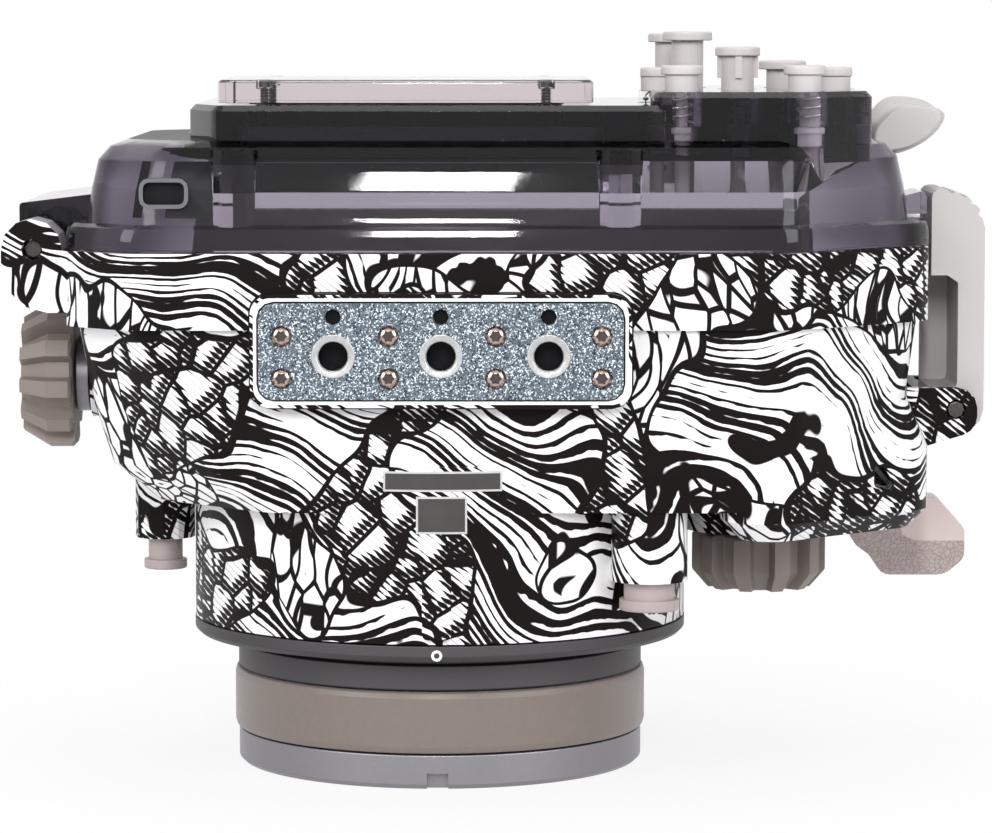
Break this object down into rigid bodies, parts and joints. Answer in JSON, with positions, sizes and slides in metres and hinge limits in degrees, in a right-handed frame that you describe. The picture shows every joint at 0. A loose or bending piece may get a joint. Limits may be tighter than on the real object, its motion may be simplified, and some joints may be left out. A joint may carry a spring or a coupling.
{
  "type": "underwater camera housing",
  "caption": "Waterproof hard housing for a mirrorless camera, with lens port, hinged rear door, side latch, control knobs, push buttons, shutter lever and tripod plate.",
  "frame": {"origin": "under the middle of the housing, on the surface that the front ring of the lens port stands on", "axes": "+Z along the lens axis towards the rear door, -Y is the underside with the tripod plate, +X is the side of the hand grip"},
  "size_m": [0.1728, 0.106, 0.1308],
  "materials": {
    "white_shell": "gloss white moulding with a black print",
    "smoke_door": "clear smoke grey polycarbonate",
    "clear_plate": "clear window",
    "port_glass": "coated optical glass",
    "button_plastic": "light warm grey moulding",
    "knob_plastic": "taupe moulding",
    "latch_plastic": "light warm grey moulding",
    "rubber_band": "taupe rubber sleeve",
    "black_rubber": "black seal rubber",
    "dark_metal": "dark anodised",
    "ring_metal": "grey anodised",
    "plate_metal": "blue grey blasted",
    "bright_steel": "stainless steel",
    "white_bush": "white low friction plastic"
  },
  "bodies": {
    "front_half": {"front_shell": "white_shell", "main_seal": "black_rubber", "port_front_ring": "ring_metal", "port_barrel": "dark_metal", "port_flange": "dark_metal", "port_grip_band": "rubber_band", "port_glass": "port_glass", "port_glass_seal": "black_rubber", "tripod_plate": "plate_metal", "camera_tray": "dark_metal", "hinge_pin": "bright_steel", "latch_pin": "bright_steel", "zoom_gland": "dark_metal", "accessory_shoe": "dark_metal", "lens_release_spring": "bright_steel", "flash_release_spring": "bright_steel"},
    "door": {"rear_door": "smoke_door", "latch_catch": "smoke_door", "screen_window": "clear_plate", "thumb_rest": "latch_plastic", "gland_low_left": "white_bush", "gland_low_right": "white_bush", "gland_pad_centre": "white_bush", "gland_pad_right": "white_bush", "gland_pad_left": "white_bush", "gland_pad_up": "white_bush", "gland_tall_near": "white_bush", "gland_tall_far": "white_bush", "spring_low_left": "bright_steel", "spring_low_right": "bright_steel", "spring_pad_centre": "bright_steel", "spring_pad_right": "bright_steel", "spring_pad_left": "bright_steel", "spring_pad_up": "bright_steel", "spring_tall_near": "bright_steel", "spring_tall_far": "bright_steel"},
    "latch": {"latch_lever": "latch_plastic"},
    "zoom": {"zoom_knob": "knob_plastic", "zoom_gear": "button_plastic"},
    "front_dial": {"front_dial_knob": "knob_plastic", "front_dial_wheel": "black_rubber"},
    "mode_dial": {"mode_dial_knob": "knob_plastic", "mode_dial_cup": "black_rubber"},
    "shutter": {"shutter_lever": "knob_plastic", "shutter_spring": "bright_steel"},
    "lens_release": {"lens_release_button": "button_plastic"},
    "flash_release": {"flash_release_button": "button_plastic"},
    "power": {"power_button": "button_plastic"},
    "push_low_left": {"button_low_left": "button_plastic"},
    "push_low_right": {"button_low_right": "button_plastic"},
    "push_pad_centre": {"button_pad_centre": "button_plastic"},
    "push_pad_right": {"button_pad_right": "button_plastic"},
    "push_pad_left": {"button_pad_left": "button_plastic"},
    "push_pad_up": {"button_pad_up": "button_plastic"},
    "push_tall_near": {"button_tall_near": "button_plastic"},
    "push_tall_far": {"button_tall_far": "button_plastic"}
  },
  "joints": [
    {"name": "door_hinge", "type": "hinge", "parent": "front_half", "child": "door", "pos_m": [-0.0811, 0, 0.0935], "axis": [0, -1, 0], "range_deg": [0, 110]},
    {"name": "latch_pivot", "type": "hinge", "parent": "front_half", "child": "latch", "pos_m": [0.0808, 0, 0.064], "axis": [0, 1, 0], "range_deg": [0, 95]},
    {"name": "zoom_turn", "type": "hinge", "parent": "front_half", "child": "zoom", "pos_m": [-0.0759, -0.012, 0.07], "axis": [-1, 0, 0], "continuous": true},
    {"name": "front_dial_turn", "type": "hinge", "parent": "front_half", "child": "front_dial", "pos_m": [0.0463, -0.01, 0.0414], "axis": [0, 0, -1], "continuous": true},
    {"name": "mode_dial_turn", "type": "hinge", "parent": "front_half", "child": "mode_dial", "pos_m": [0.038, 0.0446, 0.072], "axis": [0, 1, 0], "continuous": true},
    {"name": "shutter_pull", "type": "hinge", "parent": "front_half", "child": "shutter", "pos_m": [0.0586, 0.023, 0.0482], "axis": [0, 0, -1], "range_deg": [0, 9], "stiffness_Nm_per_rad": 0.3, "springref_deg": -2.86},
    {"name": "lens_release_press", "type": "slide", "parent": "front_half", "child": "lens_release", "axis": [0, 0, 1], "range_m": [0, 0.002], "stiffness_N_per_m": 400, "springref_m": -0.001, "deforming": ["lens_release_spring"]},
    {"name": "flash_release_press", "type": "slide", "parent": "front_half", "child": "flash_release", "axis": [0, 0, 1], "range_m": [0, 0.002], "stiffness_N_per_m": 400, "springref_m": -0.001, "deforming": ["flash_release_spring"]},
    {"name": "power_press", "type": "slide", "parent": "front_half", "child": "power", "axis": [0, -1, 0], "range_m": [0, 0.0015], "stiffness_N_per_m": 400, "springref_m": -0.001},
    {"name": "low_left_press", "type": "slide", "parent": "door", "child": "push_low_left", "axis": [0, 0, -1], "range_m": [0, 0.0016], "stiffness_N_per_m": 400, "springref_m": -0.001, "deforming": ["spring_low_left"]},
    {"name": "low_right_press", "type": "slide", "parent": "door", "child": "push_low_right", "axis": [0, 0, -1], "range_m": [0, 0.0016], "stiffness_N_per_m": 400, "springref_m": -0.001, "deforming": ["spring_low_right"]},
    {"name": "pad_centre_press", "type": "slide", "parent": "door", "child": "push_pad_centre", "axis": [0, 0, -1], "range_m": [0, 0.0016], "stiffness_N_per_m": 400, "springref_m": -0.001, "deforming": ["spring_pad_centre"]},
    {"name": "pad_right_press", "type": "slide", "parent": "door", "child": "push_pad_right", "axis": [0, 0, -1], "range_m": [0, 0.0016], "stiffness_N_per_m": 400, "springref_m": -0.001, "deforming": ["spring_pad_right"]},
    {"name": "pad_left_press", "type": "slide", "parent": "door", "child": "push_pad_left", "axis": [0, 0, -1], "range_m": [0, 0.0016], "stiffness_N_per_m": 400, "springref_m": -0.001, "deforming": ["spring_pad_left"]},
    {"name": "pad_up_press", "type": "slide", "parent": "door", "child": "push_pad_up", "axis": [0, 0, -1], "range_m": [0, 0.0016], "stiffness_N_per_m": 400, "springref_m": -0.001, "deforming": ["spring_pad_up"]},
    {"name": "tall_near_press", "type": "slide", "parent": "door", "child": "push_tall_near", "axis": [0, 0, -1], "range_m": [0, 0.0016], "stiffness_N_per_m": 400, "springref_m": -0.001, "deforming": ["spring_tall_near"]},
    {"name": "tall_far_press", "type": "slide", "parent": "door", "child": "push_tall_far", "axis": [0, 0, -1], "range_m": [0, 0.0016], "stiffness_N_per_m": 400, "springref_m": -0.001, "deforming": ["spring_tall_far"]}
  ]
}
